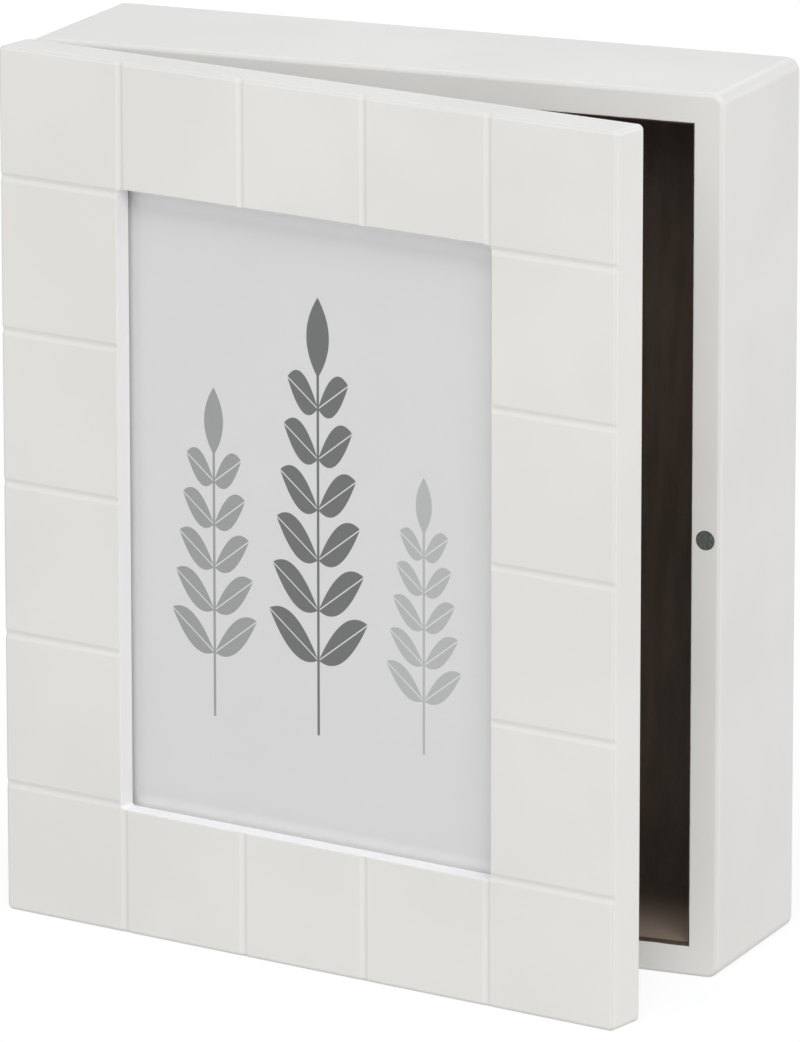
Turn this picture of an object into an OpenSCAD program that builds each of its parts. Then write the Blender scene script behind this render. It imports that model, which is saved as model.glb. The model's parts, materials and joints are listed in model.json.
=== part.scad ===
// Wall key box: a shallow case whose picture-frame door hinges on its left edge.
// The origin is the middle of the back face, which lies on the wall.
// X runs to the right, Y into the wall and Z up.

/* [Case] */
// Width of the case and of the door
box_w = 204; // [196:1:300]
// Height of the case and of the door
box_h = 244.5; // [220:0.5:320]
// Depth of the case, from the wall to its front edge
box_d = 56.5; // [46:0.5:90]
// Thickness of the four boards
board_t = 9; // [8:0.5:13]
// Radius of the case's corners, seen from the front
case_corner_r = 3.5; // [2.5:0.5:8]
// Radius of the round-over along the case's outer edges
case_edge_r = 0.8; // [0.5:0.1:2]
// Thickness of the back panel
panel_t = 3; // [2.5:0.5:5]
// How far the back panel laps onto each board
panel_lap = 4.5; // [3.5:0.5:5.5]
// Distance between the two wall screws
wall_hole_pitch = 90; // [60:1:100]
// Drop of the wall screws below the inside of the top board
wall_hole_drop = 22; // [12:1:30]
// Radius of the holes for the wall screws
wall_hole_r = 2.5; // [1.5:0.25:3.5]

/* [Door] */
// Thickness of the door
door_t = 13; // [12:0.5:20]
// Radius of the door's corners, seen from the front
door_corner_r = 1.6; // [1.4:0.1:6]
// Radius of the round-over along the door's edges
door_edge_r = 1.2; // [0.5:0.1:1.3]
// Gap between the closed door and the case
door_gap = 0.6; // [0.5:0.1:1.5]
// Angle at which the door stands ajar
door_ajar = 12.2; // [0:0.1:60]
// Width of the aperture
aperture_w = 124; // [100:1:126]
// Height of the aperture
aperture_h = 174; // [150:1:176]
// Radius of the aperture's corners
aperture_r = 1.2; // [0.6:0.1:5]
// Thickness of the lip in front of the glass
lip_t = 5.4; // [4:0.2:6]
// Tiles across the aperture
tiles_across = 3; // [2:1:5]
// Tiles down the aperture
tiles_down = 4; // [2:1:6]
// Distance from the aperture's edge to the first groove inside it
groove_inset = 1.2; // [0.8:0.1:1.6]
// Width of the grooves between the tiles
groove_w = 2.6; // [1.5:0.1:3]
// Depth of the grooves between the tiles
groove_depth = 0.4; // [0.2:0.1:1.2]

/* [Picture] */
// Width of the glass, the picture and the backing board
picture_w = 130; // [128:1:132]
// Height of the glass, the picture and the backing board
picture_h = 180; // [178:1:184]
// Thickness of the glass
glass_t = 2; // [1.5:0.1:3]
// Thickness of the picture card
card_t = 0.6; // [0.3:0.1:1]

/* [Turn buttons] */
// Length of a turn button
button_l = 26; // [22:1:28]
// Width of a turn button
button_w = 9; // [8:0.5:10]
// Thickness of a turn button
button_t = 2; // [1.5:0.1:3]
// Distance of a button's screw from the edge of the backing board's recess
button_margin = 7; // [6.5:0.5:9]
// Distance between the upper and the lower buttons
button_pitch = 110; // [60:1:140]
// Radius of the screw that a button turns on
button_screw_r = 1.2; // [1:0.1:1.6]

/* [Hinges] */
// Length of a hinge along its pin
hinge_l = 30; // [26:1:44]
// Distance from the end of the door to the nearer end of a hinge
hinge_inset = 28; // [24:1:40]
// Distance of the pin's axis from the left side of the case
hinge_out = 2.4; // [2.4:0.1:3.5]
// Radius of a hinge pin
hinge_pin_r = 1; // [0.8:0.05:1.3]
// Outer radius of a hinge knuckle
knuckle_r = 2; // [1.8:0.05:2]
// Length of the door leaf's knuckle, between the two of the case leaf
knuckle_mid = 13; // [8:0.5:16]
// Thickness of a hinge leaf
leaf_t = 0.9; // [0.8:0.1:1.2]
// Width of a hinge leaf on the wood
leaf_w = 7.5; // [7:0.5:7.5]
// Radius of the leaf screws
leaf_screw_r = 0.9; // [0.8:0.1:1]
// Length of the leaf screws
leaf_screw_l = 9; // [6:0.5:10]

/* [Hooks] */
// Length of a hook rail
rail_l = 104; // [96:1:112]
// Height of a hook rail
rail_h = 18; // [14:1:24]
// Thickness of a hook rail
rail_t = 9; // [7:0.5:12]
// Drop of the upper rail's middle below the inside of the top board
rail_drop = 39.5; // [30:0.5:60]
// Distance from the upper rail down to the lower rail
rail_pitch = 84; // [60:1:90]
// Hooks on each rail
hook_count = 3; // [2:1:4]
// Distance between neighbouring hooks
hook_pitch = 36; // [26:1:40]
// Radius of the hook wire
hook_wire_r = 1.25; // [1:0.05:1.6]
// Straight reach of a hook in front of its rail
hook_reach = 13; // [9:0.5:14]
// Radius of the bend, at the middle of the wire
hook_bend_r = 4; // [3:0.5:5]
// Straight rise of a hook above its bend
hook_rise = 5; // [3:0.5:8]

/* [Magnets and fixings] */
// Radius of a magnet
magnet_r = 2.7; // [2:0.1:3]
// Depth of a magnet
magnet_d = 3; // [2:0.5:5]
// Radius of the corner dowels
dowel_r = 2.5; // [2:0.25:3]
// Length of a dowel in the side board
dowel_in_side = 12; // [8:1:16]
// Wood left over a dowel's end in the top or bottom board
dowel_cover = 3.5; // [2.5:0.5:4.5]
// Distance of the dowels from the front and back edges
dowel_inset = 16; // [12:1:20]
// Radius of the back panel's pins
panel_pin_r = 0.7; // [0.5:0.05:0.9]
// Length of the back panel's pins
panel_pin_l = 10; // [8:0.5:14]
// Radius of the screws that hold the rails
rail_screw_r = 1.5; // [1.2:0.1:1.8]
// Distance between the two screws of a rail
rail_screw_pitch = 54; // [50:1:58]

/* [Hidden] */
$fn = 48;

// Clearances
// Glued or driven pieces in their holes, on the radius
set_fit = 0.04;
// Turning pieces on their pins, on the radius
running_fit = 0.06;
// Flat pieces in their recesses, on each side
panel_fit = 0.2;
picture_fit = 0.5;
leaf_fit = 0.1;
// Between neighbouring knuckles, and between a knuckle and the other leaf
knuckle_gap = 0.2;
knuckle_clear = 0.4;
// Under a turn button, and under its screw's head
button_lift = 0.15;
// How far a cutting shape runs past the face it cuts
past = 1;

// Case
inner_w = box_w - 2 * board_t;
inner_h = box_h - 2 * board_t;
panel_w = inner_w + 2 * panel_lap;
panel_h = inner_h + 2 * panel_lap;
board_mid_x = box_w / 2 - board_t / 2;
lap_mid_x = inner_w / 2 + panel_lap / 2;
lap_mid_z = inner_h / 2 + panel_lap / 2;
wall_hole_z = inner_h / 2 - wall_hole_drop;
dowel_in_cap = board_t - dowel_cover;
dowel_rows = [-box_d + dowel_inset, -dowel_inset];
panel_pin_head_r = 2 * panel_pin_r;
panel_pin_head_t = 0.6;
panel_pin_places = [
  for (side = [-1, 1], along = [-1, 1]) [side * lap_mid_x, along * inner_h / 4],
  for (side = [-1, 1], along = [-1, 1]) [along * inner_w / 4, side * lap_mid_z]
];

// Hook rails
upper_rail_z = inner_h / 2 - rail_drop;
lower_rail_z = upper_rail_z - rail_pitch;
rail_front_y = -panel_t - rail_t;
rail_edge_r = 1.5;
hook_screw_l = rail_t - 1.5;
hook_collar_r = 3;
hook_collar_t = 1.2;
hook_ball_r = 1.45 * hook_wire_r;
rail_screw_head_r = 2 * rail_screw_r;
rail_screw_l = panel_t + rail_t - 2;

// Door, as it lies when closed
door_back_y = -box_d - door_gap;
door_front_y = door_back_y - door_t;
glass_front_y = door_front_y + lip_t;
backing_t = door_t - lip_t - glass_t - card_t;
recess_w = picture_w + 2 * picture_fit;
recess_h = picture_h + 2 * picture_fit;
groove_r = (groove_w * groove_w / 4 + groove_depth * groove_depth) / (2 * groove_depth);
groove_axis_y = door_front_y - (groove_r - groove_depth);
tile_w = (aperture_w - 2 * groove_inset) / tiles_across;
tile_h = (aperture_h - 2 * groove_inset) / tiles_down;
groove_xs = [for (i = [0 : tiles_across]) (i - tiles_across / 2) * tile_w];
groove_zs = [for (i = [0 : tiles_down]) (i - tiles_down / 2) * tile_h];

// Turn buttons
button_x = recess_w / 2 + button_margin;
button_z = button_pitch / 2;
button_head_r = 2.3 * button_screw_r;
button_head_t = 1.5;
button_screw_in_door = 8;

// Hinges
hinge_x = -box_w / 2 - hinge_out;
hinge_y = -box_d - door_gap / 2;
hinge_z = box_h / 2 - hinge_inset - hinge_l / 2;
leaf_end = hinge_out + leaf_w;
leaf_screw_x = hinge_out + 0.6 * leaf_w;
leaf_screw_z = 0.3 * hinge_l;
leaf_screw_head_r = leaf_screw_r + leaf_t;
hinge_pin_head_r = 1.5 * hinge_pin_r;
hinge_pin_head_t = 0.8;

// Colours
white_paint = [0.88, 0.87, 0.85];
dark_paint = [0.2, 0.17, 0.15];
steel = [0.62, 0.63, 0.63];
brass = [0.72, 0.58, 0.3];
birch = [0.8, 0.68, 0.5];
board_brown = [0.48, 0.36, 0.25];
glass_tint = [0.85, 0.92, 0.92, 0.35];
paper = [0.83, 0.83, 0.83];

// Flat rectangle with round corners, centred
module round_rect(w, h, r) {
  square([w, h - 2 * r], center = true);
  square([w - 2 * r, h], center = true);
  for (x = [-1, 1], y = [-1, 1])
    translate([x * (w / 2 - r), y * (h / 2 - r)]) circle(r);
}

// Block centred on X and Z, between two depths
module block(w, h, y_front, y_back) {
  translate([-w / 2, y_front, -h / 2]) cube([w, y_back - y_front, h]);
}

// Round bar along +Y from the origin
module bar_y(r, l) {
  rotate([-90, 0, 0]) cylinder(r = r, h = l);
}

// Countersunk screw along +Y, with its head's face at the origin
module countersunk_screw(r, head_r, l) {
  bar_y(r, l);
  rotate([-90, 0, 0]) cylinder(r1 = head_r, r2 = r, h = head_r - r);
}

// Plate centred on X and Z, from y = 0 to y = t, with round corners and rounded-over edges
module rounded_slab(w, h, t, corner_r, edge_r) {
  straight_w = w - 2 * corner_r;
  straight_h = h - 2 * corner_r;
  quarters = [[1, -1], [-1, -1], [-1, 1], [1, 1]];
  translate([0, t / 2, -straight_h / 2]) linear_extrude(straight_h) round_rect(w, t, edge_r);
  translate([-straight_w / 2, t / 2, 0]) rotate([90, 0, 90])
    linear_extrude(straight_w) round_rect(t, h, edge_r);
  for (i = [0 : 3])
    translate([quarters[i].x * straight_w / 2, 0, quarters[i].y * straight_h / 2])
      rotate([-90, 0, 0]) rotate([0, 0, 90 * i]) rotate_extrude(angle = 90)
        intersection() {
          translate([0, t / 2]) round_rect(2 * corner_r, t, edge_r);
          square([corner_r, t]);
        }
}

// Door pieces are drawn closed, then swung to where the door stands
module on_door() {
  translate([hinge_x, hinge_y, 0]) rotate([0, 0, -door_ajar]) translate([-hinge_x, -hinge_y, 0]) children();
}

// The four boards in one piece, with everything cut that is cut in them
module case_ring() {
  difference() {
    translate([0, -box_d, 0]) rounded_slab(box_w, box_h, box_d, case_corner_r, case_edge_r);
    block(inner_w, inner_h, -box_d - past, past);
    block(panel_w, panel_h, -panel_t, past);
    dowels(set_fit);
    for (place = panel_pin_places)
      translate([place.x, past, place.y]) mirror([0, 1, 0])
        bar_y(panel_pin_r + set_fit, panel_pin_l + past + set_fit);
    case_magnet_disc(set_fit);
    at_hinges() leaf_seat(1);
  }
}

// Each end board runs the full width, and the side boards stand between them
module end_board(side) {
  color(white_paint) intersection() {
    case_ring();
    translate([0, 0, side * (box_h + inner_h) / 4]) block(2 * box_w, board_t, -2 * box_d, box_d);
  }
}

module side_board(side) {
  color(white_paint) intersection() {
    case_ring();
    translate([side * box_w / 2, 0, 0]) block(2 * board_t, inner_h, -2 * box_d, box_d);
  }
}

module top_board() { end_board(1); }

module bottom_board() { end_board(-1); }

module left_board() { side_board(-1); }

module right_board() { side_board(1); }

module back_panel() {
  color(dark_paint) difference() {
    block(panel_w - 2 * panel_fit, panel_h - 2 * panel_fit, -panel_t, 0);
    for (place = panel_pin_places)
      translate([place.x, 0, place.y]) panel_pin(set_fit);
    for (z = [upper_rail_z, lower_rail_z], side = [-1, 1])
      translate([side * rail_screw_pitch / 2, 0, z]) rail_screw(set_fit);
    for (side = [-1, 1])
      translate([side * wall_hole_pitch / 2, -panel_t - past, wall_hole_z])
        bar_y(wall_hole_r, panel_t + 2 * past);
  }
}

// Dowels stand across the joints between the end boards and the side boards
module dowels(fit) {
  for (end = [0, 1], side = [-1, 1], y = dowel_rows)
    mirror([0, 0, end]) translate([side * board_mid_x, y, inner_h / 2 - dowel_in_side - fit])
      cylinder(r = dowel_r + fit, h = dowel_in_side + dowel_in_cap + 2 * fit);
}

module corner_dowels() { color(birch) dowels(0); }

// Panel pin driven from behind, with its head flush
module panel_pin(fit) {
  mirror([0, 1, 0]) {
    bar_y(panel_pin_r + fit, panel_pin_l + fit);
    bar_y(panel_pin_head_r + fit, panel_pin_head_t + fit);
  }
}

module panel_pins() {
  color(steel) for (place = panel_pin_places)
    translate([place.x, 0, place.y]) panel_pin(0);
}

// Hook rail on the back panel, drilled for its hooks and its screws
module hook_rail(z) {
  color(dark_paint) difference() {
    translate([-rail_l / 2, rail_front_y + rail_t / 2, z]) rotate([90, 0, 90])
      linear_extrude(rail_l) round_rect(rail_t, rail_h, rail_edge_r);
    at_hooks(z) bar_y(hook_wire_r + set_fit, hook_screw_l + set_fit);
    for (side = [-1, 1])
      translate([side * rail_screw_pitch / 2, 0, z]) rail_screw(set_fit);
  }
}

module upper_hook_rail() { hook_rail(upper_rail_z); }

module lower_hook_rail() { hook_rail(lower_rail_z); }

module at_hooks(z) {
  for (i = [0 : hook_count - 1])
    translate([(i - (hook_count - 1) / 2) * hook_pitch, rail_front_y, z]) children();
}

// Hook with its shank in the rail, a collar against it and an end that turns up
module hook() {
  bar_y(hook_wire_r, hook_screw_l);
  mirror([0, 1, 0]) {
    bar_y(hook_wire_r, hook_reach);
    bar_y(hook_collar_r, hook_collar_t);
  }
  translate([0, -hook_reach, hook_bend_r]) rotate([0, 90, 0]) rotate([0, 0, -90])
    rotate_extrude(angle = 90) translate([hook_bend_r, 0]) circle(hook_wire_r);
  translate([0, -hook_reach - hook_bend_r, hook_bend_r]) {
    cylinder(r = hook_wire_r, h = hook_rise);
    translate([0, 0, hook_rise]) sphere(hook_ball_r);
  }
}

module upper_hooks() { color(steel) at_hooks(upper_rail_z) hook(); }

module lower_hooks() { color(steel) at_hooks(lower_rail_z) hook(); }

// Screw from behind, through the back panel into a rail
module rail_screw(fit) {
  mirror([0, 1, 0]) countersunk_screw(rail_screw_r + fit, rail_screw_head_r + fit, rail_screw_l + fit);
}

module rail_screws() {
  color(steel) for (z = [upper_rail_z, lower_rail_z], side = [-1, 1])
    translate([side * rail_screw_pitch / 2, 0, z]) rail_screw(0);
}

// Magnet flush in the front edge of the right board
module case_magnet_disc(fit) {
  translate([board_mid_x, -box_d - fit, 0]) bar_y(magnet_r + fit, magnet_d + fit);
}

module case_magnet() { color(steel) case_magnet_disc(0); }

// Magnet flush in the back of the door, opposite the one in the case
module door_magnet_disc(fit) {
  translate([board_mid_x, door_back_y - magnet_d, 0]) bar_y(magnet_r + fit, magnet_d + fit);
}

module door_magnet() { color(steel) on_door() door_magnet_disc(0); }

// Hinges are drawn with the pin's middle at the origin
module at_hinge(z) {
  translate([hinge_x, hinge_y, z]) children();
}

module at_hinges() {
  for (z = [-hinge_z, hinge_z]) at_hinge(z) children();
}

module at_leaf_screws() {
  for (z = [-leaf_screw_z, leaf_screw_z]) translate([leaf_screw_x, door_gap / 2, z]) children();
}

// Seat for a leaf and its screws: side 1 is the case, side -1 the door
module leaf_seat(side) {
  mirror([0, side > 0 ? 0 : 1, 0]) {
    translate([0, 0, -hinge_l / 2 - leaf_fit])
      cube([leaf_end + leaf_fit, door_gap / 2 + leaf_t, hinge_l + 2 * leaf_fit]);
    at_leaf_screws() bar_y(leaf_screw_r + set_fit, leaf_screw_l + set_fit);
  }
}

// Leaf with its knuckles on the pin: the case leaf has the outer two, the door leaf the middle one
module hinge_leaf(side) {
  outer_l = (hinge_l - knuckle_mid) / 2 - knuckle_gap;
  middle = [[-knuckle_mid / 2, knuckle_mid]];
  outer = [[-hinge_l / 2, outer_l], [hinge_l / 2 - outer_l, outer_l]];
  own = side > 0 ? outer : middle;
  other = side > 0 ? middle : outer;
  difference() {
    union() {
      for (span = own) translate([0, 0, span[0]]) cylinder(r = knuckle_r, h = span[1]);
      difference() {
        mirror([0, side > 0 ? 0 : 1, 0])
          translate([0, door_gap / 2, -hinge_l / 2]) cube([leaf_end, leaf_t, hinge_l]);
        for (span = other) translate([0, 0, span[0] - knuckle_gap])
          cylinder(r = knuckle_r + knuckle_clear, h = span[1] + 2 * knuckle_gap);
      }
    }
    translate([0, 0, -hinge_l]) cylinder(r = hinge_pin_r + running_fit, h = 2 * hinge_l);
    mirror([0, side > 0 ? 0 : 1, 0]) at_leaf_screws()
      countersunk_screw(leaf_screw_r + set_fit, leaf_screw_head_r + set_fit, leaf_screw_l);
  }
}

module upper_case_leaf() { color(brass) at_hinge(hinge_z) hinge_leaf(1); }

module lower_case_leaf() { color(brass) at_hinge(-hinge_z) hinge_leaf(1); }

module upper_door_leaf() { color(brass) on_door() at_hinge(hinge_z) hinge_leaf(-1); }

module lower_door_leaf() { color(brass) on_door() at_hinge(-hinge_z) hinge_leaf(-1); }

// Pin through the knuckles, with a flat head at each end
module hinge_pin() {
  translate([0, 0, -hinge_l / 2]) cylinder(r = hinge_pin_r, h = hinge_l);
  for (end = [0, 1]) mirror([0, 0, end]) translate([0, 0, hinge_l / 2])
    cylinder(r = hinge_pin_head_r, h = hinge_pin_head_t);
}

module upper_hinge_pin() { color(brass) at_hinge(hinge_z) hinge_pin(); }

module lower_hinge_pin() { color(brass) at_hinge(-hinge_z) hinge_pin(); }

module leaf_screws(side) {
  mirror([0, side > 0 ? 0 : 1, 0]) at_leaf_screws()
    countersunk_screw(leaf_screw_r, leaf_screw_head_r, leaf_screw_l);
}

module case_leaf_screws() { color(brass) at_hinges() leaf_screws(1); }

module door_leaf_screws() { color(brass) on_door() at_hinges() leaf_screws(-1); }

// Grooves across the front of the door, which make the frame look tiled
module tile_grooves() {
  for (x = groove_xs)
    translate([x, groove_axis_y, -box_h]) cylinder(r = groove_r, h = 2 * box_h);
  for (z = groove_zs)
    translate([-box_w, groove_axis_y, z]) rotate([0, 90, 0]) cylinder(r = groove_r, h = 2 * box_w);
}

module door_frame() {
  color(white_paint) on_door() difference() {
    translate([0, door_front_y, 0]) rounded_slab(box_w, box_h, door_t, door_corner_r, door_edge_r);
    translate([0, door_back_y, 0]) rotate([90, 0, 0])
      linear_extrude(door_t + past) round_rect(aperture_w, aperture_h, aperture_r);
    block(recess_w, recess_h, glass_front_y, door_back_y + past);
    tile_grooves();
    door_magnet_disc(set_fit);
    at_hinges() leaf_seat(-1);
    at_buttons() mirror([0, 1, 0]) bar_y(button_screw_r + set_fit, button_screw_in_door + set_fit);
  }
}

// Glass, picture and backing lie in the recess, one behind the other
module sheet_in_recess(y_front, t) {
  on_door() block(picture_w, picture_h, y_front, y_front + t);
}

module glass_pane() { color(glass_tint) sheet_in_recess(glass_front_y, glass_t); }

module picture_insert() { color(paper) sheet_in_recess(glass_front_y + glass_t, card_t); }

module backing_board() { color(board_brown) sheet_in_recess(glass_front_y + glass_t + card_t, backing_t); }

module at_button(side_x, side_z) {
  translate([side_x * button_x, door_back_y, side_z * button_z]) children();
}

module at_buttons() {
  for (side_x = [-1, 1], side_z = [-1, 1]) at_button(side_x, side_z) children();
}

// Turn button with round ends, free to turn on its screw
module turn_button(side_x, side_z) {
  color(steel) on_door() at_button(side_x, side_z) difference() {
    translate([0, button_lift + button_t, 0]) rotate([90, 0, 0]) linear_extrude(button_t) {
      square([button_l - button_w, button_w], center = true);
      for (end = [-1, 1]) translate([end * (button_l - button_w) / 2, 0]) circle(button_w / 2);
    }
    bar_y(button_screw_r + running_fit, button_lift + button_t + past);
  }
}

module upper_left_button() { turn_button(-1, 1); }

module upper_right_button() { turn_button(1, 1); }

module lower_left_button() { turn_button(-1, -1); }

module lower_right_button() { turn_button(1, -1); }

module button_screws() {
  color(steel) on_door() at_buttons() {
    translate([0, -button_screw_in_door, 0])
      bar_y(button_screw_r, button_screw_in_door + 2 * button_lift + button_t);
    translate([0, 2 * button_lift + button_t, 0]) rotate([-90, 0, 0])
      cylinder(r1 = button_head_r, r2 = 0.7 * button_head_r, h = button_head_t);
  }
}

top_board();
bottom_board();
left_board();
right_board();
back_panel();
corner_dowels();
panel_pins();
upper_hook_rail();
lower_hook_rail();
upper_hooks();
lower_hooks();
rail_screws();
case_magnet();
upper_case_leaf();
lower_case_leaf();
upper_hinge_pin();
lower_hinge_pin();
case_leaf_screws();
door_frame();
glass_pane();
picture_insert();
backing_board();
door_magnet();
upper_door_leaf();
lower_door_leaf();
door_leaf_screws();
button_screws();
upper_left_button();
upper_right_button();
lower_left_button();
lower_right_button();
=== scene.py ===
"""Wall key box: a painted case, a picture-frame door on two hinges, and what they hold."""

import json
import math
from contextlib import contextmanager

import bmesh
import bpy
from mathutils import Matrix, Vector


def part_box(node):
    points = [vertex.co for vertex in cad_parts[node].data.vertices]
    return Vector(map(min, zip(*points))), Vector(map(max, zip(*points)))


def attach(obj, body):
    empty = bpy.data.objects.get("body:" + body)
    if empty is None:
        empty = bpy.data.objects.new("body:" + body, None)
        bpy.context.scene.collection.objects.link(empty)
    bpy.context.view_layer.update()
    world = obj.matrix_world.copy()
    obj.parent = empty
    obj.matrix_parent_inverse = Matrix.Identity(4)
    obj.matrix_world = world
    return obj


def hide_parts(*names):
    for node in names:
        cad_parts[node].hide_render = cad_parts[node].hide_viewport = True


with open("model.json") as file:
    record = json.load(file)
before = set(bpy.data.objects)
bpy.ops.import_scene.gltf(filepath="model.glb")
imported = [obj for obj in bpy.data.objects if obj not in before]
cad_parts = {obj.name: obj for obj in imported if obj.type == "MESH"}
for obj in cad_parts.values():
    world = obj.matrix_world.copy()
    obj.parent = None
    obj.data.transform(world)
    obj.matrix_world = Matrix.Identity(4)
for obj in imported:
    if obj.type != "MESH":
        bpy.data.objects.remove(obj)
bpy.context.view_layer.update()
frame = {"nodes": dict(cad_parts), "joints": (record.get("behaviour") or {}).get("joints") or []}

MM = 0.001
NEAR = 0.002 * MM
X, Y, Z = range(3)
RIGHT, INWARD, UP = Vector((1, 0, 0)), Vector((0, 1, 0)), Vector((0, 0, 1))
HALF_TURN = Matrix.Rotation(math.pi, 4, INWARD)

# Case, from the boards of the frame
top_low, top_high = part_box("top_board")
right_low, right_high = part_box("right_board")
panel_low, panel_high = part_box("back_panel")
case_h = 2 * top_high.z
case_front = top_low.y
inner_w = 2 * right_low.x
inner_h = 2 * right_high.z
case_corner_r = 3.5 * MM
case_edge_r = 1.4 * MM
arris_r = 1 * MM
panel_fit = 0.2 * MM
panel_edge_r = 0.3 * MM
wall_hole_r = 2.5 * MM
wall_hole_pitch = 90 * MM
wall_hole_drop = 22 * MM

# Door, from the frame's nodes swung shut about the hinge
joints = {joint["name"]: joint for joint in frame["joints"]}
door_joint = joints["door_swing"]
hinge = Vector(door_joint["pos_m"])
ajar = -math.radians(door_joint["range_deg"][0])
swing_ajar = (
    Matrix.Translation(hinge)
    @ Matrix.Rotation(ajar, 4, Vector(door_joint["axis"]))
    @ Matrix.Translation(-hinge)
)
swing_shut = swing_ajar.inverted()


def shut_box(node):
    """Lowest and highest corner of a node of the door, as it lies with the door shut."""
    corners = [swing_shut @ vertex.co for vertex in frame["nodes"][node].data.vertices]
    low = Vector([min(corner[axis] for corner in corners) for axis in (X, Y, Z)])
    high = Vector([max(corner[axis] for corner in corners) for axis in (X, Y, Z)])
    return low, high


door_low, door_high = shut_box("door_frame")
glass_low, glass_high = shut_box("glass_pane")
door_front = door_low.y
door_back = door_high.y
lip_back = glass_low.y
picture_fit = 0.5 * MM
sheet_room = 0.02 * MM
seat_w = 2 * (glass_high.x + picture_fit)
seat_h = 2 * (glass_high.z + picture_fit)
door_corner_r = 1.6 * MM
door_edge_r = 1.2 * MM
aperture_w = 124 * MM
aperture_h = 174 * MM
aperture_r = 1.2 * MM
aperture_arris_r = 0.5 * MM
tiles_across = 3
tiles_down = 4
groove_inset = 1.2 * MM
groove_half = 1.5 * MM
groove_depth = 0.4 * MM
groove_steps = 5
rounding_steps = 6
glass_edge_r = 0.25 * MM
card_edge_r = 0.1 * MM
backing_edge_r = 0.4 * MM
magnet_edge_r = 0.2 * MM


def middle_height(node):
    """Height of a node's middle."""
    low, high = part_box(node)
    return (low.z + high.z) / 2


# Hinges
hinge_l = 30 * MM
knuckle_r = 2 * MM
knuckle_mid = 13 * MM
knuckle_gap = 0.2 * MM
knuckle_clear = 0.4 * MM
knuckle_edge_r = 0.2 * MM
pin_r = 1 * MM
pin_bore_r = 1.06 * MM
pin_head_r = 1.5 * MM
pin_head_t = 0.8 * MM
leaf_t = 0.9 * MM
leaf_w = 9.9 * MM
leaf_fit = 0.1 * MM
leaf_lift = 0.3 * MM
leaf_corner_r = 0.8 * MM
leaf_edge_r = 0.15 * MM
leaf_screw_x = 6.9 * MM
leaf_screw_z = 9 * MM
leaf_screw_r = 0.9 * MM
leaf_screw_head_r = 1.8 * MM
leaf_screw_l = 9 * MM
upper_hinge_z = middle_height("upper_case_leaf")

# Hooks and their rails
hook_pitch = 36 * MM
hook_count = 3
hook_wire_r = 1.25 * MM
hook_screw_l = 7.5 * MM
hook_collar_r = 3 * MM
hook_collar_t = 1.2 * MM
hook_reach = 13 * MM
hook_bend_r = 4 * MM
hook_rise = 5 * MM
hook_ball_r = 1.8 * MM
hook_collar_edge_r = 0.25 * MM
rail_edge_r = 1.5 * MM
rail_end_r = 0.4 * MM
rail_screw_pitch = 54 * MM
rail_screw_r = 1.5 * MM
rail_screw_head_r = 3 * MM
rail_screw_l = 10 * MM

# Turn buttons and small fixings
button_pitch = 110 * MM
button_edge_r = 0.45 * MM
button_play = 0.06 * MM
button_screw_r = 1.2 * MM
button_screw_in_door = 8 * MM
button_head_r = 2.76 * MM
button_head_t = 1.5 * MM
button_stand = 2.3 * MM
pin_l = 10 * MM
panel_pin_r = 0.7 * MM
panel_pin_head_r = 1.4 * MM
panel_pin_head_t = 0.6 * MM
hole_fit = 0.04 * MM
first_screw_turn = 0.4
next_screw_turn = 1.1
past = 1 * MM


# Modelling tools
def activate(piece):
    """Make one piece the only selected one."""
    bpy.ops.object.select_all(action="DESELECT")
    piece.select_set(True)
    bpy.context.view_layer.objects.active = piece


@contextmanager
def shaping(piece):
    """Edit mode on one piece, with nothing selected."""
    activate(piece)
    bpy.ops.object.mode_set(mode="EDIT")
    bpy.ops.mesh.select_all(action="DESELECT")
    yield
    bpy.ops.object.mode_set(mode="OBJECT")


def pick(piece, kind, wanted):
    """In edit mode, select only the corners, edges or faces that pass the test."""
    bpy.ops.mesh.select_mode(type=kind)
    bpy.ops.mesh.select_all(action="DESELECT")
    cage = bmesh.from_edit_mesh(piece.data)
    parts = {"VERT": cage.verts, "EDGE": cage.edges, "FACE": cage.faces}[kind]
    for part in parts:
        if wanted(part):
            part.select_set(True)
    cage.select_flush_mode()
    bmesh.update_edit_mesh(piece.data)


def corners_of(part):
    """The corners of an edge or face, or a corner itself."""
    return [part] if isinstance(part, bmesh.types.BMVert) else part.verts


def at(part, axis, *places):
    """Whether a part lies wholly at one of these places along an axis."""
    return any(all(abs(c.co[axis] - place) < NEAR for c in corners_of(part)) for place in places)


def edges_along_y(low, high):
    """A test for the four edges of a block that run along Y."""
    return lambda e: at(e, X, low.x, high.x) and at(e, Z, low.z, high.z)


def settle(name):
    """Name the primitive that was just added and put its size and place into its mesh."""
    piece = bpy.context.active_object
    piece.name = name
    bpy.ops.object.transform_apply(location=True, rotation=True, scale=True)
    return piece


def add_block(name, low, high):
    """A block between two corners, to be shaped."""
    low, high = Vector(low), Vector(high)
    bpy.ops.mesh.primitive_cube_add(size=1, location=(low + high) / 2, scale=high - low)
    return settle(name)


def add_rod(name, radius, start, end, sides=32):
    """A round rod between two points, to be shaped or to cut with."""
    start, end = Vector(start), Vector(end)
    middle = (start + end) / 2
    length = (end - start).length
    turn = (end - start).to_track_quat("Z", "Y").to_euler()
    bpy.ops.mesh.primitive_cylinder_add(
        vertices=sides, radius=radius, depth=length, location=middle, rotation=turn
    )
    return settle(name)


def move(piece, matrix):
    """Move a piece by a matrix, with its place kept in its mesh."""
    activate(piece)
    piece.matrix_world = matrix
    bpy.ops.object.transform_apply(location=True, rotation=True, scale=True)
    return piece


def copied(piece, name, matrix):
    """A copy of a piece, with a mesh of its own, moved by a matrix."""
    twin = piece.copy()
    twin.data = piece.data.copy()
    twin.name = name
    bpy.context.scene.collection.objects.link(twin)
    return move(twin, matrix)


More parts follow.
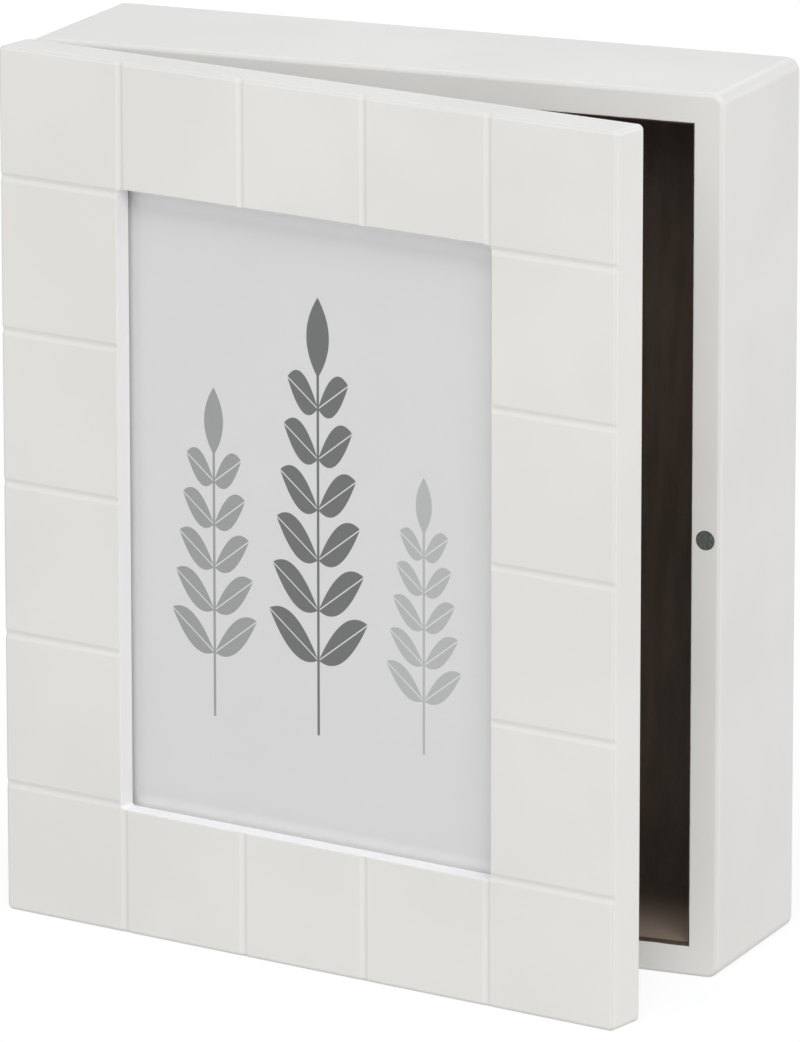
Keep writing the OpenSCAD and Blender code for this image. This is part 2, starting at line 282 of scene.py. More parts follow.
def joined(name, pieces):
    """Several pieces as one."""
    activate(pieces[0])
    for piece in pieces[1:]:
        piece.select_set(True)
    if len(pieces) > 1:
        bpy.ops.object.join()
    pieces[0].name = name
    return pieces[0]


def combine(piece, tools, operation):
    """Add the tools' shapes to a piece or take them away, and close up the seams."""
    tool = joined("tool", tools)
    change = piece.modifiers.new(operation, "BOOLEAN")
    change.operation = operation
    change.solver = "EXACT"
    change.object = tool
    activate(piece)
    bpy.ops.object.modifier_apply(modifier=change.name)
    bpy.data.objects.remove(tool)
    with shaping(piece):
        close_up()
    return piece


def carve(piece, *cutters):
    """Cut holes and seats into a piece."""
    return combine(piece, list(cutters), "DIFFERENCE")


def round_over(radius, segments):
    """Round the selected edges."""
    bpy.ops.mesh.bevel(
        offset=radius, offset_type="OFFSET", segments=segments, profile=0.5, affect="EDGES"
    )


def extrude(step):
    """Extrude what is selected by a step."""
    bpy.ops.mesh.extrude_region_move(TRANSFORM_OT_translate={"value": step})


def close_up():
    """Merge doubled corners and turn all faces outwards."""
    bpy.ops.mesh.select_all(action="SELECT")
    bpy.ops.mesh.remove_doubles(threshold=NEAR)
    bpy.ops.mesh.normals_make_consistent(inside=False)


def turned(name, outline, along, place=(0, 0, 0), steps=32):
    """A round piece: an outline of radii and heights, spun and then set along an axis."""
    bpy.ops.mesh.primitive_plane_add(size=MM)
    piece = settle(name)
    walk = [Vector((radius, 0, height)) for radius, height in outline]
    with shaping(piece):
        bpy.ops.mesh.select_mode(type="VERT")
        bpy.ops.mesh.select_all(action="SELECT")
        bpy.ops.mesh.merge(type="CENTER")
        bpy.ops.transform.translate(value=walk[0])
        for here, there in zip(walk, walk[1:]):
            bpy.ops.mesh.extrude_vertices_move(TRANSFORM_OT_translate={"value": there - here})
        bpy.ops.mesh.select_all(action="SELECT")
        bpy.ops.mesh.spin(steps=steps, angle=2 * math.pi, center=(0, 0, 0), axis=UP)
        close_up()
    turn = UP.rotation_difference(Vector(along)).to_matrix().to_4x4()
    return move(piece, Matrix.Translation(place) @ turn)


def countersink(radius, head_r, reach):
    """Outline of a countersunk hole, whose cone starts clear of the face that it is cut in."""
    bore_r = radius + hole_fit
    mouth_r = head_r + hole_fit + past
    return [(0, -past), (mouth_r, -past), (bore_r, head_r - radius), (bore_r, reach), (0, reach)]


def smooth(piece, angle=35):
    """Shade a piece smooth up to an angle, with its flat faces kept flat."""
    activate(piece)
    bpy.ops.object.shade_smooth_by_angle(angle=math.radians(angle))
    change = piece.modifiers.new("even", "WEIGHTED_NORMAL")
    change.keep_sharp = True
    bpy.ops.object.modifier_apply(modifier=change.name)


def mark_rounding(piece):
    """Keep with each face how far it leans from the axes, for the painted shade on rounded edges, where
    the paint is also thin.
    """
    leans = [1 - max(abs(part) for part in face.normal) for face in piece.data.polygons]
    marks = piece.data.attributes.new("lean", "FLOAT", "FACE")
    marks.data.foreach_set("value", leans)
    return piece


def fit(piece, body, slot, finish, *nodes):
    """Finish a piece and let it stand for its nodes of the frame."""
    smooth(piece)
    piece.data.materials.clear()
    piece.data.materials.append(finish)
    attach(piece, body)
    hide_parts(*nodes)


# Case
def panel_seat():
    """The room that the back panel takes in the boards."""
    room = Vector((panel_fit, 0, panel_fit))
    return add_block("seat", panel_low - room, panel_high + room + past * INWARD)


def flared_plug(w, h, corner, front, ease, last_ring):
    """A plug for a mouth, spread over a quarter round at its front to ease the mouth's edge."""
    spread = Vector((w / 2 + ease, 0, h / 2 + ease))
    plug = add_block("plug", (front - past) * INWARD - spread, front * INWARD + spread)
    turns = [math.radians(angle) for angle in range(15, 91, 15)]
    rings = [(ease * (1 - math.cos(turn)), ease * (1 - math.sin(turn))) for turn in turns]
    depth, margin = 0, ease
    with shaping(plug):
        if corner:
            pick(plug, "EDGE", edges_along_y(-spread, spread))
            round_over(corner, 6)
        pick(plug, "FACE", lambda f: at(f, Y, front))
        for next_depth, next_margin in rings + [last_ring]:
            extrude((next_depth - depth) * INWARD)
            wide = (w + 2 * next_margin) / (w + 2 * margin)
            tall = (h + 2 * next_margin) / (h + 2 * margin)
            bpy.ops.transform.resize(value=(wide, 1, tall), center_override=(0, 0, 0))
            depth, margin = next_depth, next_margin
        close_up()
    return plug


def mouth_plug():
    """The plug that eases the inner edges of the case's four boards."""
    return flared_plug(inner_w, inner_h, 0, case_front, arris_r, (arris_r, -past))


def model_end_board():
    """The top board: round corners and outline, eased inner edge and a rebate for the panel."""
    board = add_block("painted_top_board", top_low, top_high)
    with shaping(board):
        pick(board, "EDGE", lambda e: at(e, Z, top_high.z) and at(e, X, top_low.x, top_high.x))
        round_over(case_corner_r, 8)
        pick(board, "EDGE", lambda e: at(e, Y, top_low.y, top_high.y) and not at(e, Z, top_low.z))
        round_over(case_edge_r, 5)
    return carve(board, panel_seat(), mouth_plug())


def model_side_board():
    """The right board: rounded-over outer edges, eased inner edge and a rebate for the panel."""
    board = add_block("painted_right_board", right_low, right_high)
    with shaping(board):
        pick(board, "EDGE", lambda e: at(e, X, right_high.x) and at(e, Y, right_low.y, right_high.y))
        round_over(case_edge_r, 5)
    return carve(board, panel_seat(), mouth_plug())


def disc_room(low, high):
    """The hole that a disc along Y sits in, open at both its faces."""
    middle = (low + high) / 2
    radius = (high.x - low.x) / 2 + hole_fit
    start = Vector((middle.x, low.y - past, middle.z))
    return start, radius


def leaf_seats(boxes, front, back):
    """Blocks that cut the seats of hinge leaves, from one depth to another."""
    seats = []
    for low, high in boxes:
        near = (low.x, front, low.z - leaf_fit)
        far = (high.x + leaf_fit, back, high.z + leaf_fit)
        seats.append(add_block("seat", near, far))
    return seats


def model_boards():
    """The four boards of the case: two shapes, each with a copy turned half round."""
    top = model_end_board()
    bottom = copied(top, "painted_bottom_board", HALF_TURN)
    right = model_side_board()
    left = copied(right, "painted_left_board", HALF_TURN)
    leaves = [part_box(node) for node in ("upper_case_leaf", "lower_case_leaf")]
    carve(left, *leaf_seats(leaves, case_front - past, case_front + leaf_t))
    low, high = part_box("case_magnet")
    start, radius = disc_room(low, high)
    carve(right, add_rod("hole", radius, start, (start.x, high.y, start.z)))
    return [mark_rounding(board) for board in (top, bottom, left, right)]


def panel_pin_places():
    """Where the eight pins of the back panel are, two on each board."""
    lap_x = (inner_w / 2 + panel_high.x + panel_fit) / 2
    lap_z = (inner_h / 2 + panel_high.z + panel_fit) / 2
    on_sides = [(side * lap_x, along * inner_h / 4) for side in (-1, 1) for along in (-1, 1)]
    on_ends = [(along * inner_w / 4, side * lap_z) for side in (-1, 1) for along in (-1, 1)]
    return on_sides + on_ends


def rail_heights():
    """Middle heights of the two hook rails."""
    return [middle_height(node) for node in ("upper_hook_rail", "lower_hook_rail")]


def rail_screw_places():
    """Where the four screws of the hook rails are."""
    return [(side * rail_screw_pitch / 2, z) for z in rail_heights() for side in (-1, 1)]


def model_back_panel():
    """The back panel, with its wall holes and the seats of its pins and screws."""
    panel = add_block("hardboard_back_panel", panel_low, panel_high)
    with shaping(panel):
        bpy.ops.mesh.select_all(action="SELECT")
        round_over(panel_edge_r, 2)
    wall_z = inner_h / 2 - wall_hole_drop
    cutters = []
    for side in (-1, 1):
        x = side * wall_hole_pitch / 2
        cutters.append(add_rod("hole", wall_hole_r, (x, panel_low.y - past, wall_z), (x, past, wall_z)))
    for x, z in panel_pin_places():
        reach = -panel_pin_head_t - hole_fit
        cutters.append(add_rod("hole", panel_pin_head_r + hole_fit, (x, past, z), (x, reach, z)))
    flare = countersink(rail_screw_r, rail_screw_head_r, panel_high.y - panel_low.y + past)
    for x, z in rail_screw_places():
        cutters.append(turned("hole", flare, -INWARD, (x, 0, z)))
    return carve(panel, *cutters)


def model_panel_pins():
    """Headed pins, driven from behind, with slightly sunk and domed heads."""
    sunk, crown, rim = 0.08 * MM, 0.1 * MM, 0.25 * MM
    outline = [
        (0, sunk), (0.8 * panel_pin_head_r, crown), (panel_pin_head_r, rim),
        (panel_pin_head_r, panel_pin_head_t), (panel_pin_r, panel_pin_head_t),
        (panel_pin_r, 0.85 * pin_l), (0, pin_l),
    ]
    first = turned("pin", outline, -INWARD, steps=24)
    pins = [copied(first, "pin", Matrix.Translation((x, 0, z))) for x, z in panel_pin_places()]
    bpy.data.objects.remove(first)
    return joined("headed_panel_pins", pins)


# Hook rails and hooks
def hook_places(z):
    """Where the hooks leave their rail."""
    rail_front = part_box("upper_hook_rail")[0].y
    return [Vector(((i - (hook_count - 1) / 2) * hook_pitch, rail_front, z)) for i in range(hook_count)]


def model_hook_rail(name, node, z):
    """A rail with rounded edges, drilled for its hooks."""
    low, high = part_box(node)
    rail = add_block(name, low, high)
    with shaping(rail):
        pick(rail, "EDGE", lambda e: at(e, Y, low.y, high.y) and at(e, Z, low.z, high.z))
        round_over(rail_edge_r, 5)
        pick(rail, "EDGE", lambda e: at(e, X, low.x, high.x))
        round_over(rail_end_r, 2)
    depth = (hook_screw_l + hole_fit) * INWARD
    hole_r = hook_wire_r + hole_fit
    holes = [add_rod("hole", hole_r, place - past * INWARD, place + depth) for place in hook_places(z)]
    return carve(rail, *holes)


def walk_rings(centre, radius, rings):
    """Extrude the selected ring to each next centre and radius."""
    for there, size in rings:
        extrude(there - centre)
        bpy.ops.transform.resize(value=(size / radius,) * 3, center_override=there)
        centre, radius = there, size


def model_hook():
    """One wire hook at the origin: shank, collar, straight reach, bend and a ball at its tip."""
    point = hook_screw_l * INWARD
    point_r = 0.4 * hook_wire_r
    bpy.ops.mesh.primitive_circle_add(
        vertices=24, radius=point_r, location=point, rotation=(math.pi / 2, 0, 0)
    )
    hook = settle("hook")
    root = Vector((0, 0, 0))
    with shaping(hook):
        pick(hook, "EDGE", lambda e: True)
        rings = [
            ((hook_screw_l - hook_wire_r) * INWARD, hook_wire_r),
            (root, hook_wire_r),
            (root, hook_collar_r),
            (-(hook_collar_t - hook_collar_edge_r) * INWARD, hook_collar_r),
            (-hook_collar_t * INWARD, hook_collar_r - hook_collar_edge_r),
            (-hook_collar_t * INWARD, hook_wire_r),
            (-hook_reach * INWARD, hook_wire_r),
        ]
        walk_rings(point, point_r, rings)
        bend = Vector((0, -hook_reach, hook_bend_r))
        bpy.ops.mesh.spin(steps=10, angle=math.pi / 2, center=bend, axis=RIGHT)
        foot = Vector((0, -hook_reach - hook_bend_r, hook_bend_r))
        top = foot + hook_rise * UP
        start = math.asin(hook_wire_r / hook_ball_r) - math.pi / 2
        end = math.pi / 2 - 0.1
        steps = 8
        turns = [start + (end - start) * i / steps for i in range(steps + 1)]
        ball = [(top + hook_ball_r * math.sin(t) * UP, hook_ball_r * math.cos(t)) for t in turns]
        walk_rings(foot, hook_wire_r, ball)
        bpy.ops.mesh.merge(type="CENTER")
        pick(hook, "VERT", lambda v: at(v, Y, hook_screw_l))
        bpy.ops.mesh.merge(type="CENTER")
        close_up()
    return hook


def model_hooks(hook, name, z):
    """The hooks of one rail."""
    hooks = [copied(hook, "hook", Matrix.Translation(place)) for place in hook_places(z)]
    return joined(name, hooks)


# Screws
def model_countersunk_screw(radius, head_r, length):
    """A slotted screw at the origin, along +Y from its head's face, with a ridged shank."""
    ease = 0.06 * head_r
    cone = head_r - radius
    outline = [(0, 0), (head_r - 2 * ease, 0), (head_r - ease, ease), (radius, cone)]
    ridges = 6
    ridge_l = (0.8 * length - cone) / ridges
    root_r = 0.78 * radius
    root_share = 0.35
    for i in range(ridges):
        outline.append((root_r, cone + (i + root_share) * ridge_l))
        outline.append((radius, cone + (i + 1) * ridge_l))
    outline.append((0, length))
    screw = turned("screw", outline, INWARD)
    slot_w = 0.14 * head_r
    slot_d = 0.4 * cone
    slot = add_block("slot", (-head_r, -past, -slot_w), (head_r, slot_d, slot_w))
    return carve(screw, slot)


def set_screws(name, screw, places, into):
    """Copies of a screw, each turned a little further than the last, driven along an axis."""
    aim = INWARD.rotation_difference(into).to_matrix().to_4x4()
    copies = []
    for i, place in enumerate(places):
        spin = Matrix.Rotation(first_screw_turn + next_screw_turn * i, 4, INWARD)
        copies.append(copied(screw, "screw", Matrix.Translation(place) @ aim @ spin))
    return joined(name, copies)


def model_button_screw():
    """A pan-head screw along +Y from the door's back, its head outwards and a cross cut in it."""
    rise = button_stand
    top = rise + button_head_t
    shank = button_screw_in_door
    ease = 0.1 * MM
    outline = [
        (0, -shank), (button_screw_r, -0.8 * shank), (button_screw_r, rise),
        (button_head_r - 1.5 * ease, rise), (button_head_r - ease, rise + ease),
        (0.85 * button_head_r, rise + 0.55 * button_head_t), (0.62 * button_head_r, top - 2 * ease),
        (0.3 * button_head_r, top), (0, top),
    ]
    screw = turned("screw", outline, INWARD)
    arm = 0.5 * button_head_r
    half = 0.28 * MM
    floor = top - 0.8 * MM
    carve(screw, add_block("slot", (-arm, floor, -half), (arm, top + past, half)))
    return carve(screw, add_block("slot", (-half, floor, -arm), (half, top + past, arm)))


# Hinges
def knuckle_spans(own):
    """Start and end along the pin of a leaf's own knuckles, or of the other leaf's."""
    outer = hinge_l / 2
    middle = knuckle_mid / 2
    case_spans = [(-outer, -middle - knuckle_gap), (middle + knuckle_gap, outer)]
    door_spans = [(-middle, middle)]
    return case_spans if own == "case" else door_spans


def model_hinge_leaf(name, own, other, side):
    """A hinge leaf with its pin's middle at the origin: side 1 lies on the case, side -1 on the door."""
    near, far = sorted((side * leaf_lift, side * (leaf_lift + leaf_t)))
    half = hinge_l / 2
    leaf = add_block(name, (0, near, -half), (leaf_w, far, half))
    with shaping(leaf):
        pick(leaf, "EDGE", lambda e: at(e, X, leaf_w) and at(e, Z, -half, half))
        round_over(leaf_corner_r, 4)
        pick(leaf, "EDGE", lambda e: at(e, Y, side * leaf_lift) and not at(e, X, 0))
        round_over(leaf_edge_r, 2)
    notches = []
    for start, end in knuckle_spans(other):
        low = (0, 0, start - knuckle_gap)
        high = (0, 0, end + knuckle_gap)
        notches.append(add_rod("notch", knuckle_r + knuckle_clear, low, high))
    carve(leaf, *notches)
    rim_r = knuckle_r - knuckle_edge_r
    barrels = []
    for start, end in knuckle_spans(own):
        outline = [
            (0, start), (rim_r, start), (knuckle_r, start + knuckle_edge_r),
            (knuckle_r, end - knuckle_edge_r), (rim_r, end), (0, end),
        ]
        barrels.append(turned("barrel", outline, UP))
    combine(leaf, barrels, "UNION")
    carve(leaf, add_rod("bore", pin_bore_r, (0, 0, -hinge_l), (0, 0, hinge_l)))
    flare = countersink(leaf_screw_r, leaf_screw_head_r, leaf_t + past)
    holes = []
    for z in (-leaf_screw_z, leaf_screw_z):
        holes.append(turned("hole", flare, side * INWARD, (leaf_screw_x, side * leaf_lift, z)))
    return carve(leaf, *holes)


def model_hinge_pin(name):
    """A hinge pin at the origin, with a domed head at each end."""
    half = hinge_l / 2
    lower_head = [
        (0, -half - pin_head_t), (0.55 * pin_head_r, -half - 0.92 * pin_head_t),
        (0.88 * pin_head_r, -half - 0.65 * pin_head_t), (pin_head_r, -half - 0.3 * pin_head_t),
        (pin_head_r, -half), (pin_r, -half),
    ]
    upper_head = [(radius, -height) for radius, height in reversed(lower_head)]
    return turned(name, lower_head + upper_head, UP)


def leaf_screw_places(side):
    """Where the screws of both leaves on the case or on the door are, with the door shut."""
    places = []
    for hinge_z in (upper_hinge_z, -upper_hinge_z):
        for z in (-leaf_screw_z, leaf_screw_z):
            places.append(hinge + Vector((leaf_screw_x, side * leaf_lift, hinge_z + z)))
    return places


# Door
def groove_lines(opening, tiles):
    """Middle lines of the grooves across one side of the aperture."""
    pitch = (opening - 2 * groove_inset) / tiles
    return [(i - tiles / 2) * pitch for i in range(tiles + 1)]


def groove_profile():
    """Offsets from a groove's middle line, each with the groove's depth there."""
    shares = [i / groove_steps for i in range(-groove_steps, groove_steps + 1)]
    return [(share * groove_half, groove_depth * (1 - share * share) ** 2) for share in shares]


def on_flat_front(corner):
    """Whether a corner of the door lies inside its rounded outline."""
    flat_x = door_high.x - door_edge_r + NEAR
    flat_z = door_high.z - door_edge_r + NEAR
    return abs(corner.co.x) < flat_x and abs(corner.co.z) < flat_z


def cut_grooves(door):
    """Divide the door's front along each groove, press it in, and carry it over the rounded edges."""
    lines = [(X, line) for line in groove_lines(aperture_w, tiles_across)]
    lines += [(Z, line) for line in groove_lines(aperture_h, tiles_down)]
    cuts = [(axis, line + offset, depth) for axis, line in lines for offset, depth in groove_profile()]
    front_zone = door_front + door_edge_r + NEAR
    for axis, place, depth in cuts:
        across = RIGHT if axis == X else UP
        pick(door, "FACE", lambda f: all(v.co.y < front_zone for v in f.verts))
        bpy.ops.mesh.bisect(plane_co=place * across, plane_no=across)
    for step in range(1, rounding_steps):
        turn = math.pi / 2 * step / rounding_steps
        row = door_front + door_edge_r * (1 - math.cos(turn))
        for depth in sorted({depth for axis, place, depth in cuts if depth > 0}):
            alike = [(axis, place) for axis, place, other in cuts if other == depth]
            pick(door, "VERT", lambda v: at(v, Y, row) and any(at(v, *cut) for cut in alike))
            bpy.ops.transform.shrink_fatten(value=-depth * math.sqrt(math.cos(turn)))
    for axis, place, depth in cuts:
        floor_y = door_front + depth
        pick(door, "VERT", lambda v: v.co.y < floor_y and on_flat_front(v) and at(v, axis, place))
        bpy.ops.transform.resize(value=(1, 0, 1), center_override=(0, floor_y, 0))


def door_cutters():
    """What is cut in the back of the door: seats of the leaves, magnet hole and screw holes."""
    leaves = [shut_box(node) for node in ("upper_door_leaf", "lower_door_leaf")]
    cutters = leaf_seats(leaves, door_back - leaf_t, door_back + past)
    low, high = shut_box("door_magnet")
    start, radius = disc_room(low, high)
    cutters.append(add_rod("hole", radius, (start.x, low.y, start.z), (start.x, high.y + past, start.z)))
    for place in button_places():
        tip = place - (button_screw_in_door + hole_fit) * INWARD
        cutters.append(add_rod("hole", button_screw_r + hole_fit, tip, place + past * INWARD))
    return cutters


def model_door_frame():
    """The door board: rounded-over edges, grooves that make it look tiled, and a rebated aperture."""
    door = add_block("routed_door_frame", door_low, door_high)
    with shaping(door):
        pick(door, "EDGE", edges_along_y(door_low, door_high))
        round_over(door_corner_r, 6)
        pick(door, "EDGE", lambda e: at(e, Y, door_front, door_back))
        round_over(door_edge_r, rounding_steps)
        cut_grooves(door)
    seat = Vector((seat_w / 2, 0, seat_h / 2))
    carve(door, add_block("cutter", lip_back * INWARD - seat, (door_back + past) * INWARD + seat))
    through = (door_back + past - door_front, 0)
    carve(door, flared_plug(aperture_w, aperture_h, aperture_r, door_front, aperture_arris_r, through))
    return mark_rounding(carve(door, *door_cutters()))


def model_sheet(name, node, ease):
    """A flat sheet in the door's recess, with eased edges and a hair's room before and behind it."""
    low, high = shut_box(node)
    sheet = add_block(name, low + sheet_room * INWARD, high - sheet_room * INWARD)
    with shaping(sheet):
        bpy.ops.mesh.select_all(action="SELECT")
        round_over(ease, 2)
    return sheet


def model_magnet(name, low, high, face):
    """A magnet disc with an eased rim: face 1 shows towards the wall, face -1 towards the room."""
    radius = (high.x - low.x) / 2
    depth = high.y - low.y
    rim_r = radius - magnet_edge_r
    outline = [(0, 0), (rim_r, 0), (radius, magnet_edge_r), (radius, depth), (0, depth)]
    shown = high.y if face > 0 else low.y
    middle = (low + high) / 2
    return turned(name, outline, -face * INWARD, (middle.x, shown, middle.z), steps=48)


# Turn buttons
def button_places():
    """Where the turn buttons' screws stand on the back of the door, with the door shut."""
    low, high = shut_box("upper_right_button")
    x = (low.x + high.x) / 2
    z = button_pitch / 2
    return [Vector((side_x * x, door_back, side_z * z)) for side_z in (1, -1) for side_x in (-1, 1)]


def model_turn_button():
    """A pressed turn button in its place at the upper right, with round ends and an eased outline."""
    low, high = shut_box("upper_right_button")
    button = add_block("turn_button", low, high)
    with shaping(button):
        pick(button, "EDGE", edges_along_y(low, high))
        round_over((high.z - low.z) / 2, 12)
        close_up()
        pick(button, "EDGE", lambda e: at(e, Y, low.y, high.y))
        round_over(button_edge_r, 3)
    middle = (low + high) / 2
    hole_r = button_screw_r + button_play
    start = Vector((middle.x, low.y - past, middle.z))
    return carve(button, add_rod("hole", hole_r, start, start + (high.y - low.y + 2 * past) * INWARD))


# Finishes
def first_with(operation):
    """A method that puts a Math node on a value and another one."""
    return lambda self, other: self.nodes.math(operation, self, other)


def last_with(operation):
    """A method that puts a Math node on a number and a value."""
    return lambda self, other: self.nodes.math(operation, other, self)


def alone_with(operation):
    """A method that puts a Math node on one value."""
    return lambda self: self.nodes.math(operation, self)


class Value:
    """An output of a node that takes part in Python sums."""

    __add__ = first_with("ADD")
    __radd__ = last_with("ADD")
    __sub__ = first_with("SUBTRACT")
    __rsub__ = last_with("SUBTRACT")
    __mul__ = first_with("MULTIPLY")
    __rmul__ = last_with("MULTIPLY")
    __truediv__ = first_with("DIVIDE")
    __abs__ = alone_with("ABSOLUTE")
    __floor__ = alone_with("FLOOR")
    larger = first_with("MAXIMUM")

    def __init__(self, nodes, socket):
        self.nodes = nodes
        self.socket = socket

    def ramp(self, low, high, to_low=0.0, to_high=1.0):
        """A smooth step from one value to another between two limits."""
        limits = {"From Min": low, "From Max": high, "To Min": to_low, "To Max": to_high}
        settings = {"interpolation_type": "SMOOTHSTEP"}
        return self.nodes.add("ShaderNodeMapRange", settings, {"Value": self, **limits})


class Nodes:
    """The node tree of a finish or of the world."""

    def __init__(self, owner):
        owner.use_nodes = True
        self.tree = owner.node_tree
        self.tree.nodes.clear()

    def add(self, kind, settings=None, sockets=None, out=0):
        """Any node: its settings first, then the values or links of its sockets."""
        node = self.tree.nodes.new(kind)
        for key, value in (settings or {}).items():
            setattr(node, key, value)
        for key, value in (sockets or {}).items():
            if isinstance(value, Value):
                self.tree.links.new(value.socket, node.inputs[key])
            else:
                node.inputs[key].default_value = value
        return Value(self, node.outputs[out] if node.outputs else None)

    def math(self, operation, *values):
        """A Math node on values and numbers."""
        return self.add("ShaderNodeMath", {"operation": operation}, dict(enumerate(values)))

    def mix(self, share, first, second):
        """A colour between two others."""
        return self.add("ShaderNodeMix", {"data_type": "RGBA"}, {0: share, 6: first, 7: second}, out=2)

    def place(self, settings=None, **sockets):
        """Object coordinates, centred, turned or stretched."""
        coordinates = self.add("ShaderNodeTexCoord", out=3)
        return self.add("ShaderNodeMapping", settings, {"Vector": coordinates, **sockets})

    def noise(self, where, scale, detail=2.0):
        """Soft noise, at so many grains to the metre."""
        return self.add("ShaderNodeTexNoise", None, {"Vector": where, "Scale": scale, "Detail": detail})

    def parts(self, where):
        """The three coordinates of a place."""
        split = self.add("ShaderNodeSeparateXYZ", None, {"Vector": where})
        return [Value(self, socket) for socket in split.socket.node.outputs]

    def bump(self, height, depth):
        """A normal that follows a height of 0 to 1 times a depth."""
        return self.add("ShaderNodeBump", None, {"Height": height, "Strength": 1.0, "Distance": depth})

    def principled(self, **sockets):
        """A Principled surface, with underscores in place of the spaces in its sockets' names."""
        named = {key.replace("_", " "): value for key, value in sockets.items()}
        return self.add("ShaderNodeBsdfPrincipled", None, named)

    def show(self, shader, kind="ShaderNodeOutputMaterial"):
        """Put a shader on the output."""
        self.add(kind, None, {"Surface": shader})

    def coat(self, **sockets):
        """Put a Principled surface on the output."""
        self.show(self.principled(**sockets))


def shade(red, green, blue):
    """A colour from its screen values of 0 to 255."""
    parts = [value / 255 for value in (red, green, blue)]
    linear = [p / 12.92 if p < 0.04045 else ((p + 0.055) / 1.055) ** 2.4 for p in parts]
    return (*linear, 1.0)


def new_finish(name):
    """A material and its empty node tree."""
    material = bpy.data.materials.new(name)
    return material, Nodes(material)


WHITE_PAINT = shade(222, 220, 216)
WHITE_PAINT_THIN = shade(219, 217, 213)
# Darker white for rounded edges: thin paint there, and painted shade that cancels the lamps' highlight on
# them.
WHITE_PAINT_EDGE_SHADE = shade(212, 210, 206)
# Painted light for the aperture's reveals and sill.
WHITE_PAINT_LIT_APERTURE = shade(234, 232, 233)
WHITE_PAINT_GLEAM = 0.12
PEEL_DEPTH = 0.012 * MM
STAIN = shade(77, 65, 55)
STAIN_WORN = shade(89, 76, 66)
# Painted light and shade for the inside floor.
FLOOR_SHADED_BACK = shade(95, 83, 73)
FLOOR_LIT_FRONT = shade(165, 146, 132)
GRAIN_UP = (260, 260, 40)
GRAIN_ACROSS = (40, 260, 260)


def paint_film(nodes, where):
    """Sprayed white paint, with painted shade on its rounded edges, where it is also thin: its colour,
    gloss and the fine peel of its surface.
    """
    cloud = nodes.noise(where, 22, 3)
    peel = nodes.noise(where, 650, 2)
    grain = nodes.noise(where, 2600, 1)
    lean = nodes.add("ShaderNodeAttribute", {"attribute_name": "lean"}, out="Fac")
    colour = nodes.mix(cloud.ramp(0.35, 0.65), WHITE_PAINT, WHITE_PAINT_THIN)
    # Painted shade: rounded edges take a darker white, standing for thin paint and cancelling the lamps'
    # highlight there.
    colour = nodes.mix(lean.ramp(0.04, 0.2), colour, WHITE_PAINT_EDGE_SHADE)
    roughness = 0.65 + 0.1 * cloud
    return colour, roughness, 0.7 * peel + 0.3 * grain


def along_door(nodes, middle):
    """Object coordinates in millimetres along the ajar door: across, into and up it from a middle."""
    frame_turn = {"Location": swing_ajar @ middle, "Rotation": (0, 0, -ajar), "Scale": (MM, MM, MM)}
    return nodes.place({"vector_type": "TEXTURE"}, **frame_turn)


def white_painted():
    """The door's satin white paint, with painted light inside the aperture: a lighter, cooler white on its
    reveals and sill.
    """
    finish, nodes = new_finish("satin_white_paint")
    colour, roughness, peel = paint_film(nodes, nodes.place())
    across, depth, up = nodes.parts(along_door(nodes, door_front * INWARD))
    # Painted light: the aperture's reveals and sill get a lighter, cooler white for the light they catch.
    within_sides = (aperture_w / (2 * MM) + 0.2 - abs(across)).ramp(0, 0.1)
    within_ends = (aperture_h / (2 * MM) + 0.2 - abs(up)).ramp(0, 0.1)
    colour = nodes.mix(within_sides * within_ends * depth.ramp(0.1, 0.4), colour, WHITE_PAINT_LIT_APERTURE)
    nodes.coat(
        Base_Color=colour, Roughness=roughness, Specular_IOR_Level=WHITE_PAINT_GLEAM,
        Normal=nodes.bump(peel, PEEL_DEPTH),
    )
    return finish


def stained(nodes, stretch):
    """The colour of the brown stain, with a faint grain along one axis."""
    streaks = nodes.noise(nodes.place(Scale=stretch), 1, 4)
    return nodes.mix(streaks.ramp(0.3, 0.7), STAIN, STAIN_WORN)


def white_painted_and_lined():
    """The boards' paint: white outside, dark brown inside, and painted light on the inside floor: lighter
    near the front, shaded deeper in.
    """
    finish, nodes = new_finish("white_paint_with_brown_lining")
    where = nodes.place()
    colour, roughness, peel = paint_film(nodes, where)
    x, y, z = nodes.parts(where)
    wobble = 0.1 * MM * nodes.noise(where, 160, 2)
    soft = 0.06 * MM
    reach_x = inner_w / 2 + 0.9 * arris_r
    reach_z = inner_h / 2 + 0.9 * arris_r
    inside_x = (reach_x - abs(x) - wobble).ramp(0, soft)
    inside_z = (reach_z - abs(z) - wobble).ramp(0, soft)
    behind_front = (y - case_front - wobble).ramp(0, soft)
    lined = inside_x * inside_z * behind_front
    # Painted light and shade on the inside floor: lighter just behind the front edge, darker deeper in.
    behind_edge = (y - case_front).ramp(1 * MM, 3 * MM)
    on_floor = (2 * MM - inner_h / 2 - z).ramp(0, 2 * MM) * behind_edge
    deep = (y - case_front).ramp(5 * MM, 45 * MM)
    brown = stained(nodes, GRAIN_UP)
    brown = nodes.mix(on_floor, brown, nodes.mix(deep, FLOOR_LIT_FRONT, FLOOR_SHADED_BACK))
    colour = nodes.mix(lined, colour, brown)
    nodes.coat(
        Base_Color=colour, Roughness=roughness + 0.1 * lined, Specular_IOR_Level=WHITE_PAINT_GLEAM,
        Normal=nodes.bump(peel, PEEL_DEPTH),
    )
    return finish


def dark_stained():
    """The hook rails' dark brown stain."""
    finish, nodes = new_finish("dark_brown_stain")
    colour = stained(nodes, GRAIN_ACROSS)
    grain = nodes.noise(nodes.place(Scale=GRAIN_ACROSS), 3, 3)
    nodes.coat(Base_Color=colour, Roughness=0.45 + 0.15 * grain, Normal=nodes.bump(grain, 0.04 * MM))
    return finish


HARDBOARD = shade(128, 95, 64)
HARDBOARD_DARK = shade(98, 70, 46)


